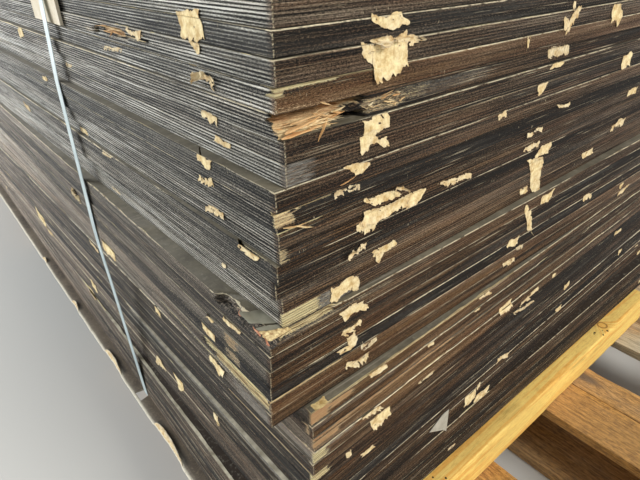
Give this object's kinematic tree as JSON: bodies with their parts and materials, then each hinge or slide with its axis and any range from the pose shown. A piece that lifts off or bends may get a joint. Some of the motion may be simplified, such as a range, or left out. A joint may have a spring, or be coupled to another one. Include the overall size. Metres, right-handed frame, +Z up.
{
  "type": "stack of plywood sheets",
  "caption": "Strapped stack of worn film-faced plywood sheets, edges slightly out of line, lying on timber bearers across block pallets.",
  "frame": {"origin": "middle of the whole load's box in plan, at floor level under the pallets", "axes": "+Z up, Y along the sheets' length, X along their width; the corner that the picture shows is the low-X, low-Y one"},
  "size_m": [1.3252, 3.2, 0.9443],
  "materials": {
    "film_faced_plywood": "matte",
    "cover_board": "matte",
    "bearer_timber": "sawn",
    "pallet_timber": "weathered",
    "strap_band": "satin",
    "protector": "matte",
    "seal_metal": "crimped"
  },
  "bodies": {
    "root": {"sheet_01": "film_faced_plywood", "sheet_02": "film_faced_plywood", "sheet_03": "film_faced_plywood", "sheet_04": "film_faced_plywood", "sheet_05": "film_faced_plywood", "sheet_06": "film_faced_plywood", "sheet_07": "film_faced_plywood", "sheet_08": "film_faced_plywood", "sheet_09": "film_faced_plywood", "sheet_10": "film_faced_plywood", "sheet_11": "film_faced_plywood", "sheet_12": "film_faced_plywood", "sheet_13": "film_faced_plywood", "sheet_14": "film_faced_plywood", "sheet_15": "film_faced_plywood", "sheet_16": "film_faced_plywood", "sheet_17": "film_faced_plywood", "sheet_18": "film_faced_plywood", "sheet_19": "film_faced_plywood", "sheet_20": "film_faced_plywood", "sheet_21": "film_faced_plywood", "sheet_22": "film_faced_plywood", "sheet_23": "film_faced_plywood", "sheet_24": "film_faced_plywood", "sheet_25": "film_faced_plywood", "sheet_26": "film_faced_plywood", "sheet_27": "film_faced_plywood", "sheet_28": "film_faced_plywood", "sheet_29": "film_faced_plywood", "sheet_30": "film_faced_plywood", "sheet_31": "film_faced_plywood", "sheet_32": "film_faced_plywood", "sheet_33": "film_faced_plywood", "sheet_34": "film_faced_plywood", "sheet_35": "film_faced_plywood", "sheet_36": "film_faced_plywood", "sheet_37": "film_faced_plywood", "sheet_38": "film_faced_plywood", "sheet_39": "film_faced_plywood", "sheet_40": "film_faced_plywood", "cover_board": "cover_board", "bearer_1": "bearer_timber", "bearer_2": "bearer_timber", "bearer_3": "bearer_timber", "bearer_4": "bearer_timber", "front_pallet_deck_boards": "pallet_timber", "front_pallet_cross_boards": "pallet_timber", "front_pallet_blocks": "pallet_timber", "front_pallet_bottom_boards": "pallet_timber", "front_strap": "strap_band", "front_edge_protectors": "protector", "front_strap_seal": "seal_metal", "rear_pallet_deck_boards": "pallet_timber", "rear_pallet_cross_boards": "pallet_timber", "rear_pallet_blocks": "pallet_timber", "rear_pallet_bottom_boards": "pallet_timber", "rear_strap": "strap_band", "rear_edge_protectors": "protector", "rear_strap_seal": "seal_metal"}
  },
  "joints": []
}
